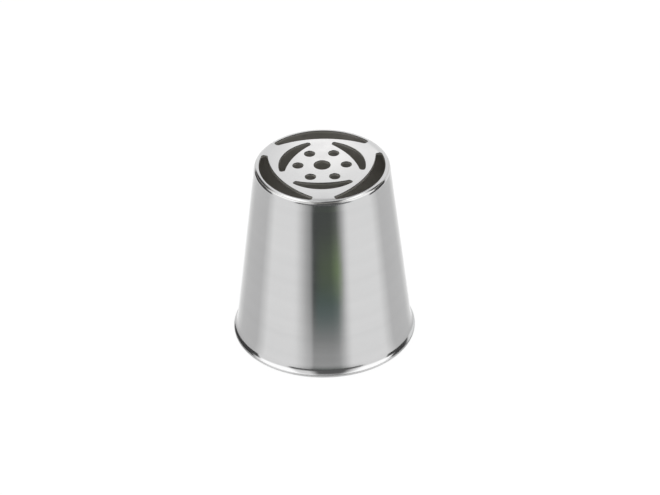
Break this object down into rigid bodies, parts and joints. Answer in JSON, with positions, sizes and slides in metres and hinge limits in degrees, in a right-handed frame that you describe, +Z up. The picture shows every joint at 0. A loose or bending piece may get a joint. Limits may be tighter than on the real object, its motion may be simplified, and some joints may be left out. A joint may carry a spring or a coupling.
{
  "type": "piping nozzle",
  "caption": "Stainless steel flower piping nozzle: tapered sheet cone with a flared, beaded rim and a flat face pierced with crescents and round holes.",
  "frame": {"origin": "middle of the wide end, on the surface that the rim's bead stands on", "axes": "+Z up along the cone's axis, out of the pierced face; +Y towards the crescent at the back of the face, away from the camera"},
  "size_m": [0.0348, 0.0348, 0.0368],
  "materials": {
    "polished_steel": "polished stainless steel, spun round its axis",
    "cap_steel": "flat polished stainless steel, softly buffed"
  },
  "bodies": {
    "root": {"nozzle_cone": "polished_steel", "pattern_cap": "cap_steel"}
  },
  "joints": []
}
